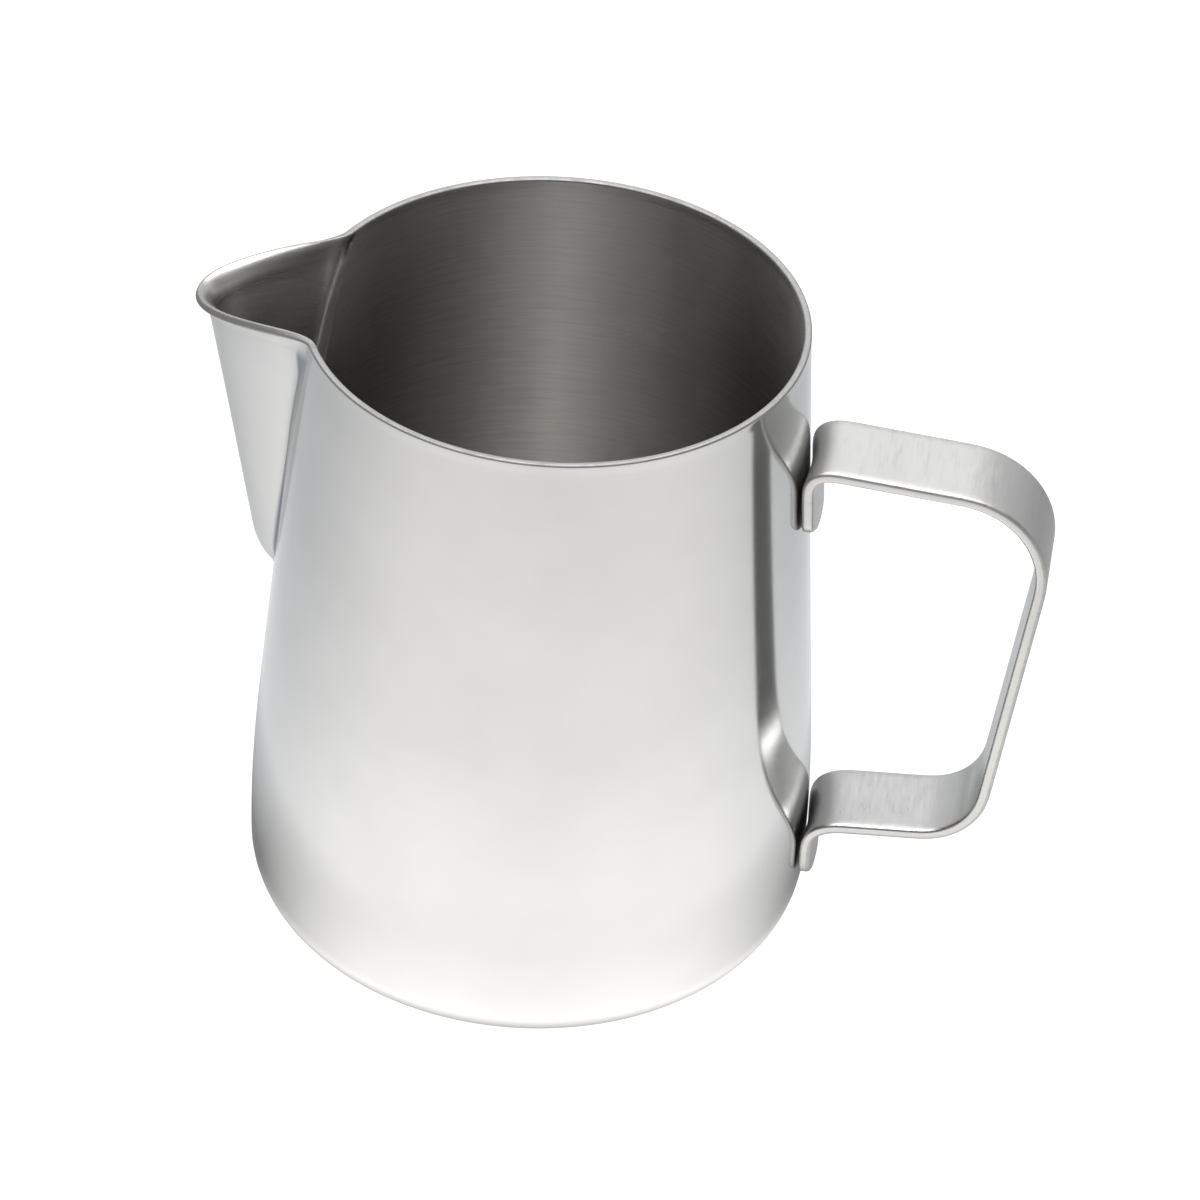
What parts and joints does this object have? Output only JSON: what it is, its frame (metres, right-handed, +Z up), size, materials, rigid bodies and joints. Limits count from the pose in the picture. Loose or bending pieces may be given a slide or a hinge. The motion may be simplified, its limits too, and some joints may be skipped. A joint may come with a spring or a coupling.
{
  "type": "milk frothing pitcher",
  "caption": "Open tapered pitcher with a bulging belly, rounded base, V-shaped pouring spout with a rolled lip, and an open flat strap handle.",
  "frame": {"origin": "centre of the flat base, on the body's axis", "axes": "+Z up along the body's axis, +X towards the handle, -X towards the spout, XZ is the plane of symmetry"},
  "size_m": [0.1378, 0.0922, 0.113],
  "materials": {
    "polished_body": "polished outside, brushed around the inside",
    "polished_spout": "polished outside, brushed inside",
    "dressed_weld": "dressed and brushed",
    "satin_strap": "satin with softened edges",
    "weld_nugget": "dull"
  },
  "bodies": {
    "root": {"body_shell": "polished_body", "spout": "polished_spout", "spout_weld_seam": "dressed_weld", "handle_strap": "satin_strap", "upper_weld_left": "weld_nugget", "upper_weld_right": "weld_nugget", "lower_weld_left": "weld_nugget", "lower_weld_right": "weld_nugget"}
  },
  "joints": []
}
